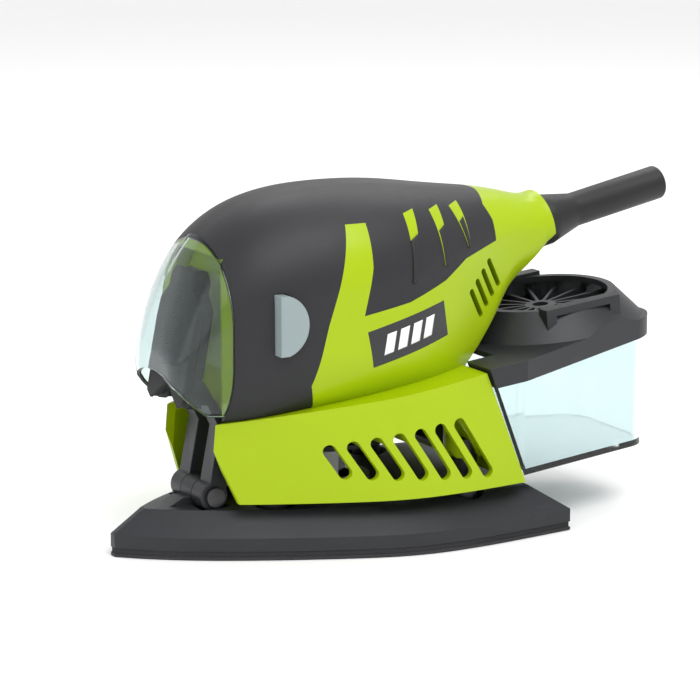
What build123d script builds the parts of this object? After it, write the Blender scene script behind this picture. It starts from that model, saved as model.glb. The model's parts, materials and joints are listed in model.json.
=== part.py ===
from build123d import *
import os
from math import cos, radians, sin, tan

# Detail mouse sander. Z is up, the pad's nose points to -Y, the cord and the dust box to +Y.
# The origin lies on the sanding face, on the machine's plane of symmetry.

# ---- pad ----
pad_length = 150.0
pad_width = 100.0
pad_nose_y = -90.0
hook_t = 1.0
foam_t = 1.9
plate_edge_t = 4.5
plate_top_z = 15.0
plateau_inset = 11.0
pad_center_y = pad_nose_y + pad_length / 2

# ---- drive line ----
motor_y = -11.0
eccentricity = 0.8
orbit_gap = 2.4
shaft_r = 4.0
bearing_r = 11.0
bearing_t = 7.0
run_gap = 0.04
ecc_bearing_z = 8.4
weight_z = 21.0
weight_h = 9.0
weight_r = 17.0
fan_z = 32.0
fan_h = 7.0
fan_r = 24.0
fan_blades = 12
plate_z = 40.5
lower_bearing_z = 43.5
field_r = 24.0
field_bore_r = 15.6
field_z = 64.0
field_h = 22.0
armature_r = 15.0
commutator_r = 9.0
commutator_z = 90.5
commutator_h = 5.0
bracket_z = 97.0
upper_bearing_z = 100.0

# ---- body shell ----
wall_t = 2.4
skin_t = 1.5
skirt_bottom_z = 18.0
deck_front_y = -65.5
deck_front_z = 44.0
deck_rear_y = 29.0
deck_rear_z = 57.0
deck_t = 3.0
skirt_low_rear_y = 44.0
skirt_inset = 4.8
front_low_y = -54.0
body_front_y = -58.2
overhang_y = 28.0
overhang_z = 54.0
overhang_slope = 0.88
collar_r = 11.6
collar_y = 75.0
collar_z = 98.4
collar_tilt = 11.5

# ---- finger attachment ----
hinge_y = -58.0
hinge_z = 18.6
hinge_pin_r = 2.0
hinge_gap = 0.2
arm_w = 7.5
arm_slot = 8.0
knuckle_r = 5.0
finger_w = 26.4
finger_tip_w = 16.0
finger_near = 28.2
finger_far = 73.5
finger_notch = 7.5
notch_half = 10.0
finger_plate_t = 3.2
finger_foam_t = 2.0
finger_hook_t = 1.0
finger_fold = 101.1
bay_w = 36.0
bay_low_y = -46.5
bay_high_y = -51.5
bay_step_z = 60.0
bay_top_z = 99.5

# ---- guard ----
guard_t = 2.0
guard_gap = 0.3
guard_bottom_z = 47.5

# ---- dust box ----
box_gap = 0.8
box_bottom_z = 20.0
box_wall = 1.8
lid_tilt = 5.9
lid_z = 51.5
lid_band = 7.0
lid_dome_h = 9.5
lid_lip = 1.6
box_front_w = 84.0
box_rear_w = 46.0
box_rear_y = 108.0
box_cut_y = 20.0
box_taper_y = 44.0
box_corner_r = 12.0
lid_open_y = 78.0
lid_open_r = 24.0
lid_dome_r = 35.0
lid_ribs = 16
port_w = 26.0
port_h = 14.0
port_z = 33.0
duct_t = 1.6

# ---- switch and strain relief ----
switch_y = -45.6
switch_z = 79.0
switch_h = 20.0
switch_w = 10.4
switch_gap = 0.3
sleeve_r = 6.0
sleeve_len = 52.0
boot_r = 9.0
cord_r = 3.6

screw_r = 1.5
head_r = 3.0
head_t = 2.2

os.makedirs("parts", exist_ok=True)
made = []


def keep(builder, label):
    """Name a finished piece and remember it for export."""
    builder.part.label = label
    made.append((builder.part, label))


def slope_plane(y0, z0, y1, z1, lift=0.0):
    """Plane through two points of the side view, level across X, facing up and lifted along its normal."""
    run = Vector(0, y1 - y0, z1 - z0).normalized()
    normal = Vector(1, 0, 0).cross(run)
    origin = Vector(0, y0, z0) + normal * lift
    return Plane(origin=origin, x_dir=(1, 0, 0), z_dir=normal)


# Side stations of the pad outline: share of the half width, share of the length from the nose.
pad_side = [(0.03, 0.0), (0.32, 0.117), (0.58, 0.267), (0.828, 0.446),
            (0.966, 0.58), (1.0, 0.745), (0.93, 1.0)]


def pad_outline(inset):
    """Closed delta outline with a blunt nose, bowed sides and a straight rear edge."""
    kx = 1 - 2 * inset / pad_width
    ky = 1 - 2 * inset / pad_length
    side = []
    for share_x, share_y in pad_side:
        side.append((share_x * pad_width / 2 * kx, pad_center_y + (share_y - 0.5) * pad_length * ky))
    other = [(-x, y) for x, y in reversed(side)]
    Spline(side)
    Line(side[-1], other[0])
    Spline(other)
    Line(other[-1], side[0])


def pad_half(y):
    """Half width of the pad outline at a place along Y, straight between its stations."""
    share = (y - pad_nose_y) / pad_length
    for (x0, y0), (x1, y1) in zip(pad_side, pad_side[1:]):
        if y0 <= share <= y1:
            return (x0 + (x1 - x0) * (share - y0) / (y1 - y0)) * pad_width / 2
    return 0.0


# ================= sanding pad =================
plate_bottom_z = hook_t + foam_t
chamfer_z = plate_bottom_z + plate_edge_t
boss_top_z = plate_top_z + 2.2
post_r = 5.0
post_spots = [(17.0, -38.2), (-17.0, -38.2), (33.0, 25.0), (-33.0, 25.0)]
knuckle_w = arm_slot - 2 * hinge_gap
bracket_w = arm_slot + 2 * arm_w

with BuildPart() as hook_face:
    with BuildSketch():
        with BuildLine():
            pad_outline(0.0)
        make_face()
    extrude(amount=hook_t)
keep(hook_face, "hook_face")

with BuildPart() as foam_pad:
    with BuildSketch(Plane.XY.offset(hook_t)):
        with BuildLine():
            pad_outline(0.4)
        make_face()
    extrude(amount=foam_t)
keep(foam_pad, "foam_pad")

with BuildPart() as base_plate:
    with BuildSketch(Plane.XY.offset(plate_bottom_z)):
        with BuildLine():
            pad_outline(0.0)
        make_face()
    extrude(amount=plate_edge_t)
    with BuildSketch(Plane.XY.offset(chamfer_z)):
        with BuildLine():
            pad_outline(0.0)
        make_face()
    with BuildSketch(Plane.XY.offset(plate_top_z)):
        with BuildLine():
            pad_outline(plateau_inset)
        make_face()
    loft(ruled=True)
    # hollow under the plateau with cross ribs
    with BuildSketch(Plane.XY.offset(plate_bottom_z)):
        with Locations((0, 34)):
            RectangleRounded(40, 34, 6)
        with Locations((0, 34)):
            Rectangle(42, 2.4, mode=Mode.SUBTRACT)
            Rectangle(2.4, 36, mode=Mode.SUBTRACT)
    extrude(amount=plate_top_z - plate_bottom_z - 3.0, mode=Mode.SUBTRACT)
    # boss and seat of the eccentric bearing
    with BuildSketch(Plane.XY.offset(chamfer_z)):
        with Locations((0, motor_y + eccentricity)):
            Circle(bearing_r + 4.5)
    extrude(amount=boss_top_z - chamfer_z)
    with BuildSketch(Plane.XY.offset(ecc_bearing_z)):
        with Locations((0, motor_y + eccentricity)):
            Circle(bearing_r)
    extrude(amount=30, mode=Mode.SUBTRACT)
    with BuildSketch(Plane.XY.offset(plate_bottom_z + 2)):
        with Locations((0, motor_y + eccentricity)):
            Circle(bearing_r - 3)
    extrude(amount=30, mode=Mode.SUBTRACT)
    # sockets for the suspension posts
    with BuildSketch(Plane.XY.offset(plate_bottom_z + 2.6)):
        with Locations(*post_spots):
            Circle(post_r + orbit_gap)
    extrude(amount=20, mode=Mode.SUBTRACT)
    # raised dart on the nose and the knuckle of the finger hinge
    with BuildSketch(Plane.YZ):
        with BuildLine():
            Polyline((-79, plate_top_z - 4), (-66, plate_top_z + 2.4), (hinge_y, plate_top_z + 2.4),
                     (hinge_y + 9, plate_top_z - 4), (-79, plate_top_z - 4))
        make_face()
        with Locations((hinge_y, hinge_z)):
            Circle(knuckle_r)
    extrude(amount=knuckle_w / 2, both=True)
    with BuildSketch(Plane.YZ.offset(knuckle_w / 2)):
        with Locations((hinge_y, hinge_z)):
            Circle(knuckle_r + 1.4)
    extrude(amount=arm_w + 1.5, mode=Mode.SUBTRACT)
    with BuildSketch(Plane.YZ.offset(-knuckle_w / 2)):
        with Locations((hinge_y, hinge_z)):
            Circle(knuckle_r + 1.4)
    extrude(amount=-(arm_w + 1.5), mode=Mode.SUBTRACT)
    with BuildSketch(Plane.YZ):
        with Locations((hinge_y, hinge_z)):
            Circle(hinge_pin_r)
    extrude(amount=knuckle_w, both=True, mode=Mode.SUBTRACT)
keep(base_plate, "base_plate")

with BuildPart() as bearing_cap:
    with BuildSketch(Plane.XY.offset(boss_top_z)):
        with Locations((0, motor_y + eccentricity)):
            Circle(bearing_r + 4.5)
            Circle(bearing_r - 1.5, mode=Mode.SUBTRACT)
            with PolarLocations(bearing_r + 2.2, 3):
                Circle(screw_r * 0.7, mode=Mode.SUBTRACT)
    extrude(amount=1.4)
keep(bearing_cap, "bearing_cap")

with BuildPart() as ecc_bearing:
    with BuildSketch(Plane.XY.offset(ecc_bearing_z)):
        with Locations((0, motor_y + eccentricity)):
            Circle(bearing_r)
            Circle(shaft_r + run_gap, mode=Mode.SUBTRACT)
    extrude(amount=bearing_t)
    with BuildSketch(Plane.XY.offset(ecc_bearing_z + bearing_t - 0.6)):
        with Locations((0, motor_y + eccentricity)):
            Circle(bearing_r - 2)
            Circle(shaft_r + 2, mode=Mode.SUBTRACT)
    extrude(amount=1, mode=Mode.SUBTRACT)
keep(ecc_bearing, "ecc_bearing")

with BuildPart() as hinge_pin:
    with BuildSketch(Plane.YZ.offset(-bracket_w / 2 - 1.4)):
        with Locations((hinge_y, hinge_z)):
            Circle(hinge_pin_r)
    extrude(amount=bracket_w + 2.8)
    for face_x in (-bracket_w / 2 - 1.6, bracket_w / 2 + 0.2):
        with BuildSketch(Plane.YZ.offset(face_x)):
            with Locations((hinge_y, hinge_z)):
                Circle(hinge_pin_r + 1.3)
        extrude(amount=1.4)
keep(hinge_pin, "hinge_pin")

# ================= finger attachment =================
# Drawn flat in front of the pad, then folded up about the hinge pin.
fold_axis = Axis((0, hinge_y, hinge_z), (1, 0, 0))
near_y = hinge_y - finger_near
far_y = hinge_y - finger_far
step_y = far_y + 9.0


def finger_outline(inset):
    """Panel outline: notch that takes the pad's nose, straight sides, stepped narrow tip."""
    w = finger_w / 2 - inset
    tip = finger_tip_w / 2 - inset
    near = near_y - inset
    notch = near - finger_notch
    Polyline((0, notch), (notch_half, near), (w, near - 2), (w, step_y + 3),
             (tip, step_y - 2), (tip, far_y + 3 + inset), (tip - 3, far_y + inset),
             (3 - tip, far_y + inset), (-tip, far_y + 3 + inset), (-tip, step_y - 2),
             (-w, step_y + 3), (-w, near - 2), (-notch_half, near), (0, notch))


def finger_layer(bottom, thickness, inset, label):
    """One flat layer of the finger panel, folded up."""
    with BuildPart() as layer:
        with BuildSketch(Plane.XY.offset(bottom)):
            with BuildLine():
                finger_outline(inset)
            make_face()
        extrude(amount=thickness)
    layer.part = layer.part.rotate(fold_axis, -finger_fold)
    keep(layer, label)


plate_low = finger_hook_t + finger_foam_t
plate_high = plate_low + finger_plate_t
with BuildPart() as finger_flat:
    with BuildSketch(Plane.XY.offset(plate_low)):
        with BuildLine():
            finger_outline(0.0)
        make_face()
    extrude(amount=finger_plate_t)
    # stiffening rib down the middle and the two arms that reach back to the pin
    with BuildSketch(Plane.XY.offset(plate_high)):
        with Locations((0, (near_y - 10 + far_y + 6) / 2)):
            Rectangle(4, near_y - 10 - far_y - 6)
    extrude(amount=2.0)
    for side_x in (-arm_slot / 2 - arm_w, arm_slot / 2):
        with BuildSketch(Plane.YZ.offset(side_x)):
            with Locations((hinge_y, hinge_z)):
                Circle(knuckle_r)
            with BuildLine():
                Polyline((hinge_y, hinge_z + 4.0), (-80, hinge_z + 4.0), (-96, plate_high + 1.5),
                         (-96, plate_low), (-87.6, plate_low), (-88.5, 10.5), (-81, 16.2),
                         (hinge_y, 16.2), (hinge_y, hinge_z + 4.0))
            make_face()
        extrude(amount=arm_w)
    with BuildSketch(Plane.YZ):
        with Locations((hinge_y, hinge_z)):
            Circle(hinge_pin_r + hinge_gap)
    extrude(amount=bracket_w, both=True, mode=Mode.SUBTRACT)
with BuildPart() as finger_arm:
    add(finger_flat.part.rotate(fold_axis, -finger_fold))
keep(finger_arm, "finger_arm")

finger_layer(finger_hook_t, finger_foam_t, 0.4, "finger_foam")
finger_layer(0.0, finger_hook_t, 0.0, "finger_hook_face")

# ================= hull forms =================
# Stations along Y: half width, bottom, top, corner radius of the cross-section.
hull = [
    (-75.0, 9.0, 54.0, 67.0, 6.4),
    (-72.0, 17.6, 48.5, 79.5, 14.8),
    (-66.5, 22.5, 43.0, 92.5, 21.0),
    (-60.0, 26.8, 40.0, 102.4, 25.5),
    (-50.0, 30.7, 38.0, 110.7, 28.5),
    (-34.0, 34.2, 38.0, 116.8, 31.0),
    (-11.0, 35.6, 38.0, 118.8, 31.0),
    (12.0, 33.0, 38.0, 117.8, 28.5),
    (30.0, 26.5, 40.0, 115.4, 23.5),
    (46.0, 19.0, 58.0, 113.4, 17.5),
    (60.0, 14.0, 78.0, 110.6, 13.0),
    (72.0, 11.8, 86.0, 109.2, 11.4),
]


def hull_form(inset, front_y):
    """Smooth solid through the cross-sections, pulled in by the inset and cut off ahead of front_y."""
    with BuildPart() as form:
        for index, (y, half, low, top, radius) in enumerate(hull):
            shift = inset if index == 0 else 0.0
            with BuildSketch(Plane.XZ.offset(-(y + shift))):
                with Locations((0, (low + top) / 2)):
                    RectangleRounded(2 * (half - inset), top - low - 2 * inset, radius - inset)
        loft()
        split(bisect_by=Plane.XZ.offset(-front_y), keep=Keep.BOTTOM)
    return form.part


def half_space(plane):
    """Large block on the upper side of a plane."""
    with BuildPart() as block:
        with BuildSketch(plane):
            Rectangle(600, 600)
        extrude(amount=300)
    return block.part


def switch_outline(gap):
    """D-shaped outline of the switch bar's ends in the side view: straight in front, bowed at the rear."""
    front = switch_y - gap
    top = switch_z + switch_h / 2 + gap
    low = switch_z - switch_h / 2 - gap
    Line((front, low), (front, top))
    Line((front, top), (switch_y + 3, top))
    ThreePointArc((switch_y + 3, top), (switch_y + switch_w + gap, switch_z), (switch_y + 3, low))
    Line((switch_y + 3, low), (front, low))


deck_top = slope_plane(deck_front_y, deck_front_z, deck_rear_y, deck_rear_z)
deck_low = slope_plane(deck_front_y, deck_front_z, deck_rear_y, deck_rear_z, -deck_t)
overhang = slope_plane(overhang_y, overhang_z, overhang_y + 10, overhang_z + 10 * overhang_slope)
overhang_in = slope_plane(overhang_y, overhang_z, overhang_y + 10, overhang_z + 10 * overhang_slope, wall_t)
above_deck = half_space(deck_low)
above_overhang = half_space(overhang)
above_overhang_in = half_space(overhang_in)

outer = hull_form(0.0, body_front_y)
skin = hull_form(skin_t, body_front_y)
inner = hull_form(wall_t + skin_t, body_front_y + wall_t)
print("hull forms")

collar_axis = Plane(origin=(0, collar_y, collar_z), x_dir=(1, 0, 0),
                    z_dir=(0, cos(radians(collar_tilt)), sin(radians(collar_tilt))))

with BuildPart() as bay_block:
    with BuildSketch(Plane.YZ):
        with BuildLine():
            Polyline((-100, 10), (bay_low_y + wall_t, 10), (bay_low_y + wall_t, bay_step_z + wall_t),
                     (bay_high_y + wall_t, bay_step_z + wall_t), (bay_high_y + wall_t, bay_top_z + wall_t),
                     (-100, bay_top_z + wall_t), (-100, 10))
        make_face()
    extrude(amount=bay_w / 2 + wall_t, both=True)

with BuildPart() as bay_void:
    with BuildSketch(Plane.YZ):
        with BuildLine():
            Polyline((-110, 5), (bay_low_y, 5), (bay_low_y, bay_step_z), (bay_high_y, bay_step_z),
                     (bay_high_y, bay_top_z), (-110, bay_top_z), (-110, 5))
        make_face()
    extrude(amount=bay_w / 2, both=True)

# Grooves of the soft grip: Y of the wide top end, Y and Z of the narrow low end.
grooves = [(8.6, 5.2, 88.5), (20.2, 19.9, 92.5), (30.2, 32.2, 97.0)]
groove_top_half = 2.4
groove_low_half = 0.6
groove_top_z = 111.0

# Side-view region of the soft grip: front dome, top band, rear grip behind the bright stripe.
with BuildPart() as grip_region:
    with BuildSketch(Plane.YZ):
        with BuildLine():
            Polyline((-59, 30), (-29.8, 30), (-29.8, 50), (-32.4, 57.4), (-27.3, 77.6),
                     (-21.9, 94.3), (-17, 109), (-9.5, 109), (-10.6, 95.3), (-14.4, 79.6),
                     (3.5, 82.4), (19.5, 87.7), (30, 93.5),
                     (46.5, 97), (46, 104), (44, 109), (46, 113), (46.5, 125), (-59, 125), (-59, 30))
        make_face()
        # three tapered grooves that show the bright shell
        for top_y, low_y, low_z in grooves:
            with BuildLine():
                Polyline((top_y - groove_top_half, groove_top_z - 0.5),
                         (top_y + groove_top_half, groove_top_z + 0.5),
                         (low_y + groove_low_half, low_z), (low_y - groove_low_half, low_z),
                         (top_y - groove_top_half, groove_top_z - 0.5))
            make_face(mode=Mode.SUBTRACT)
    extrude(amount=60, both=True)

with BuildPart() as badge_region:
    with BuildSketch(Plane.YZ):
        with BuildLine():
            Polyline((-13.2, 74.1), (18.5, 81.1), (20.6, 69), (-10.6, 61.7), (-13.2, 74.1))
        make_face()
    extrude(amount=60)

with BuildPart() as grip_cover:
    add(outer)
    add(skin, mode=Mode.SUBTRACT)
    add(above_deck, mode=Mode.INTERSECT)
    add(above_overhang, mode=Mode.INTERSECT)
    add(grip_region.part, mode=Mode.INTERSECT)
    add(bay_void.part, mode=Mode.SUBTRACT)
    with BuildSketch(Plane.YZ.offset(-60)):
        with BuildLine():
            switch_outline(switch_gap)
        make_face()
    extrude(amount=120, mode=Mode.SUBTRACT)
keep(grip_cover, "grip_cover")
print("grip cover")

vent_count = 4
vent_y = 35.6
vent_z = 77.2
vent_step_y = 3.2
vent_step_z = 3.0
vent_l = 12.0
vent_w = 2.2
vent_lean = 31.0
boss_spots = [(-41.0, 57.0), (-42.0, 106.0), (21.0, 63.0), (25.0, 103.0)]
ledge_hole_r = field_r - 2.4

# walls of the finger bay, motor ledge, screw bosses and the rib that stops the strain relief
with BuildPart() as inside_walls:
    add(bay_block.part)
    with BuildSketch(Plane.XY.offset(field_z - 4)):
        with Locations((0, motor_y)):
            Rectangle(90, 30)
            Circle(ledge_hole_r, mode=Mode.SUBTRACT)
    extrude(amount=4)
    with BuildSketch(Plane.YZ):
        with Locations(*boss_spots):
            Circle(head_r + 1.4)
    extrude(amount=60, both=True)
    with BuildSketch(collar_axis.offset(-19)):
        Circle(collar_r)
        Circle(boot_r - 3, mode=Mode.SUBTRACT)
    extrude(amount=2.4)
    add(outer, mode=Mode.INTERSECT)

with BuildPart() as housing:
    add(outer)
    with BuildSketch(collar_axis.offset(-16)):
        Circle(collar_r)
    extrude(amount=16)
    add(inner, mode=Mode.SUBTRACT)
    add(inside_walls.part)
    add(above_deck, mode=Mode.INTERSECT)
    add(above_overhang, mode=Mode.INTERSECT)
    add(bay_void.part, mode=Mode.SUBTRACT)
    add(grip_cover.part, mode=Mode.SUBTRACT)
    # opening for the switch bar
    with BuildSketch(Plane.YZ.offset(-60)):
        with BuildLine():
            switch_outline(switch_gap)
        make_face()
    extrude(amount=120, mode=Mode.SUBTRACT)
    # slanted rear vents
    with BuildSketch(Plane.YZ.offset(-60)):
        for k in range(vent_count):
            with Locations((vent_y + vent_step_y * k, vent_z + vent_step_z * k)):
                SlotOverall(vent_l, vent_w, rotation=90 + vent_lean)
    extrude(amount=120, mode=Mode.SUBTRACT)
    # screw bores and head pockets from the left side
    with BuildSketch(Plane.YZ.offset(-60)):
        with Locations(*boss_spots):
            Circle(screw_r)
    extrude(amount=80, mode=Mode.SUBTRACT)
    with BuildSketch(Plane.YZ.offset(-60)):
        with Locations(*boss_spots):
            Circle(head_r + 0.2)
    extrude(amount=48, mode=Mode.SUBTRACT)

with BuildPart() as rear_closure:
    add(inner)
    add(above_overhang, mode=Mode.INTERSECT)
    add(above_overhang_in, mode=Mode.SUBTRACT)
    add(above_deck, mode=Mode.INTERSECT)

with BuildPart() as housing_shell:
    add(housing.part)
    add(rear_closure.part)
    # seat of the boot in the collar, and the way in for the wires
    with BuildSketch(collar_axis.offset(-16.6)):
        Circle(boot_r)
    extrude(amount=18, mode=Mode.SUBTRACT)
    with BuildSketch(collar_axis.offset(-30)):
        Circle(boot_r - 3)
    extrude(amount=20, mode=Mode.SUBTRACT)

badge_solid = (badge_region.part & outer) - skin
for label, solid in (("badge_right", badge_solid), ("badge_left", badge_solid.mirror(Plane.YZ))):
    with BuildPart() as badge:
        add(solid)
    keep(badge, label)

for label, side in (("housing_right", Keep.TOP), ("housing_left", Keep.BOTTOM)):
    with BuildPart() as half:
        add(housing_shell.part)
        split(bisect_by=Plane.YZ, keep=side)
        add(badge_solid, mode=Mode.SUBTRACT)
        add(badge_solid.mirror(Plane.YZ), mode=Mode.SUBTRACT)
    keep(half, label)
print("housing halves")

with BuildPart() as housing_screws:
    for y, z in boss_spots:
        with BuildSketch(Plane.YZ.offset(-12)):
            with Locations((y, z)):
                Circle(head_r)
        extrude(amount=-head_t)
        with BuildSketch(Plane.YZ.offset(-12)):
            with Locations((y, z)):
                Circle(screw_r)
        extrude(amount=28)
keep(housing_screws, "housing_screws")

# ================= skirt =================
skirt_rear = slope_plane(deck_rear_y, deck_rear_z, skirt_low_rear_y, skirt_bottom_z)
skirt_rear_in = slope_plane(deck_rear_y, deck_rear_z, skirt_low_rear_y, skirt_bottom_z, -wall_t)
ledge_t = 4.0
bearing_plate_l = 32.0
plate_margin = 8.6
bearing_plate_w = 2 * (pad_half(motor_y - bearing_plate_l / 2) - plate_margin)
ledge_w = 16.0
ledge_x = bearing_plate_w / 2 + 6.0
slot_count = 7
slot_pitch = 7.9
slot_first_y = -24.7
slot_mid_z = 31.6
slot_lean = 32.0
slot_w = 4.3
slot_first_l = 13.0
slot_grow = 1.9
slot_rise = 0.17
slot_depth = 28.4


def skirt_form(inset):
    """Tapered solid inside the pad outline, cut by the deck, the leaning front and the slanted rear."""
    with BuildPart() as form:
        with BuildSketch(Plane.XY.offset(skirt_bottom_z)):
            with BuildLine():
                pad_outline(skirt_inset + inset)
            make_face()
        with BuildSketch(Plane.XY.offset(skirt_bottom_z + 45)):
            with BuildLine():
                pad_outline(skirt_inset + inset + 3.0)
            make_face()
        loft(ruled=True)
    return form.part


skirt_outer = skirt_form(0.0)
skirt_inner = skirt_form(wall_t)

with BuildPart() as skirt_hollow:
    add(skirt_inner)
    add(half_space(deck_low), mode=Mode.SUBTRACT)
    add(half_space(skirt_rear_in), mode=Mode.SUBTRACT)

# back wall of the finger bay, post bosses and the ledges under the bearing plate
with BuildPart() as skirt_walls:
    with BuildSketch(Plane.XY.offset(skirt_bottom_z)):
        with Locations((0, bay_low_y + wall_t / 2)):
            Rectangle(pad_width, wall_t)
    extrude(amount=40)
    with BuildSketch(Plane.XY.offset(skirt_bottom_z + 10)):
        with Locations(*post_spots):
            Circle(post_r + 1.6)
    extrude(amount=40)
    with BuildSketch(Plane.XY.offset(plate_z - ledge_t / 2)):
        with Locations((0, motor_y)):
            Rectangle(bearing_plate_w + 1, bearing_plate_l + 1)
    extrude(amount=30, mode=Mode.SUBTRACT)
    with BuildSketch(Plane.XY.offset(plate_z - ledge_t)):
        for side_x in (-1, 1):
            with Locations((side_x * ledge_x, motor_y)):
                Rectangle(ledge_w, bearing_plate_l - 6)
    extrude(amount=ledge_t)
    add(skirt_outer, mode=Mode.INTERSECT)
    add(half_space(deck_low), mode=Mode.SUBTRACT)
    add(half_space(skirt_rear), mode=Mode.SUBTRACT)

with BuildPart() as base_shell:
    add(skirt_outer)
    add(half_space(deck_top), mode=Mode.SUBTRACT)
    add(half_space(skirt_rear), mode=Mode.SUBTRACT)
    add(skirt_hollow.part, mode=Mode.SUBTRACT)
    # opening that takes the body
    add(half_space(deck_low) & outer, mode=Mode.SUBTRACT)
    with BuildSketch(deck_low):
        with Locations((0, 55)):
            Rectangle(40, 90)
    extrude(amount=-8, mode=Mode.SUBTRACT)
    add(skirt_walls.part)
    # leaning front edge and the open finger bay
    with BuildSketch(Plane.YZ):
        with BuildLine():
            Polyline((front_low_y, skirt_bottom_z - 1), (deck_front_y, deck_front_z + 2),
                     (-120, deck_front_z + 2), (-120, skirt_bottom_z - 1),
                     (front_low_y, skirt_bottom_z - 1))
        make_face()
    extrude(amount=60, both=True, mode=Mode.SUBTRACT)
    with BuildSketch(Plane.XY.offset(skirt_bottom_z - 2)):
        with Locations((0, (bay_low_y - 120) / 2)):
            Rectangle(bay_w, 120 + bay_low_y)
    extrude(amount=60, mode=Mode.SUBTRACT)
    # rear wall opening for the dust duct
    with BuildSketch(Plane.XZ.offset(-30)):
        with Locations((0, port_z)):
            Rectangle(port_w, port_h)
    extrude(amount=-30, mode=Mode.SUBTRACT)
    # seven leaning louvre slots a side
    for k in range(slot_count):
        with BuildSketch(Plane.YZ.offset(-60)):
            with Locations((slot_first_y + slot_pitch * k, slot_mid_z + slot_rise * k)):
                SlotOverall(slot_first_l + slot_grow * k, slot_w, rotation=90 + slot_lean)
        extrude(amount=slot_depth, mode=Mode.SUBTRACT)
        with BuildSketch(Plane.YZ.offset(60)):
            with Locations((slot_first_y + slot_pitch * k, slot_mid_z + slot_rise * k)):
                SlotOverall(slot_first_l + slot_grow * k, slot_w, rotation=90 + slot_lean)
        extrude(amount=-slot_depth, mode=Mode.SUBTRACT)
    # sockets that hold the tops of the posts
    with BuildSketch(Plane.XY.offset(skirt_bottom_z)):
        with Locations(*post_spots):
            Circle(post_r)
    extrude(amount=16, mode=Mode.SUBTRACT)
keep(base_shell, "base_shell")

post_names = ["post_front_right", "post_front_left", "post_rear_right", "post_rear_left"]
post_bottom_z = plate_bottom_z + 2.6 + 1.2
for label, spot in zip(post_names, post_spots):
    with BuildPart() as post:
        with BuildSketch(Plane.XY.offset(post_bottom_z)):
            with Locations(spot):
                Circle(post_r)
        extrude(amount=skirt_bottom_z + 16 - post_bottom_z)
        with BuildSketch(Plane.XY.offset(plate_top_z + 2)):
            with Locations(spot):
                Circle(post_r)
                Circle(post_r - 1.2, mode=Mode.SUBTRACT)
        extrude(amount=3, mode=Mode.SUBTRACT)
    keep(post, label)
print("skirt")

# ================= drive line =================
with BuildPart() as bearing_plate:
    with BuildSketch(Plane.XY.offset(plate_z)):
        with Locations((0, motor_y)):
            RectangleRounded(bearing_plate_w, bearing_plate_l, 8)
            Circle(shaft_r + 3, mode=Mode.SUBTRACT)
            with GridLocations(34, 28, 2, 2):
                Circle(5, mode=Mode.SUBTRACT)
    extrude(amount=lower_bearing_z - plate_z)
    with BuildSketch(Plane.XY.offset(lower_bearing_z)):
        with Locations((0, motor_y)):
            Circle(bearing_r + 2.5)
            Circle(bearing_r, mode=Mode.SUBTRACT)
    extrude(amount=bearing_t)
    with BuildSketch(Plane.XY.offset(plate_z)):
        with Locations((0, motor_y)):
            with GridLocations(bearing_plate_w - 8, bearing_plate_l - 16, 2, 2):
                Circle(screw_r)
    extrude(amount=10, mode=Mode.SUBTRACT)
keep(bearing_plate, "bearing_plate")

with BuildPart() as plate_screws:
    with BuildSketch(Plane.XY.offset(lower_bearing_z)):
        with Locations((0, motor_y)):
            with GridLocations(bearing_plate_w - 8, bearing_plate_l - 16, 2, 2):
                Circle(head_r)
    extrude(amount=head_t)
    with BuildSketch(Plane.XY.offset(plate_z)):
        with Locations((0, motor_y)):
            with GridLocations(bearing_plate_w - 8, bearing_plate_l - 16, 2, 2):
                Circle(screw_r)
    extrude(amount=lower_bearing_z - plate_z)
keep(plate_screws, "plate_screws")


def ball_bearing(bottom, label):
    """Ring with a recess between its races on both faces."""
    with BuildPart() as bearing:
        with BuildSketch(Plane.XY.offset(bottom)):
            with Locations((0, motor_y)):
                Circle(bearing_r)
                Circle(shaft_r + run_gap, mode=Mode.SUBTRACT)
        extrude(amount=bearing_t)
        for low in (bottom, bottom + bearing_t - 0.6):
            with BuildSketch(Plane.XY.offset(low)):
                with Locations((0, motor_y)):
                    Circle(bearing_r - 2)
                    Circle(shaft_r + 2, mode=Mode.SUBTRACT)
            extrude(amount=0.6, mode=Mode.SUBTRACT)
    keep(bearing, label)


ball_bearing(lower_bearing_z, "lower_bearing")
ball_bearing(upper_bearing_z, "upper_bearing")

with BuildPart() as rotor_shaft:
    with BuildSketch(Plane.XY.offset(weight_z + 2)):
        with Locations((0, motor_y)):
            Circle(shaft_r)
    extrude(amount=upper_bearing_z + bearing_t - weight_z - 2)
    with BuildSketch(Plane.XY.offset(lower_bearing_z + bearing_t)):
        with Locations((0, motor_y)):
            Circle(shaft_r + 1)
    extrude(amount=1.5)
keep(rotor_shaft, "rotor_shaft")

with BuildPart() as counterweight:
    with BuildSketch(Plane.XY.offset(weight_z)):
        with Locations((0, motor_y)):
            Circle(8)
        with BuildLine():
            CenterArc((0, motor_y), weight_r, 190, 160)
            Line((weight_r * cos(radians(350)), motor_y + weight_r * sin(radians(350))), (0, motor_y))
            Line((0, motor_y), (weight_r * cos(radians(190)), motor_y + weight_r * sin(radians(190))))
        make_face()
    extrude(amount=weight_h)
    with BuildSketch(Plane.XY.offset(weight_z + 2)):
        with Locations((0, motor_y)):
            Circle(shaft_r)
    extrude(amount=weight_h, mode=Mode.SUBTRACT)
    # crank pin, set off from the shaft by the eccentricity
    with BuildSketch(Plane.XY.offset(ecc_bearing_z)):
        with Locations((0, motor_y + eccentricity)):
            Circle(shaft_r)
    extrude(amount=weight_z - ecc_bearing_z)
keep(counterweight, "counterweight")

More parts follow.
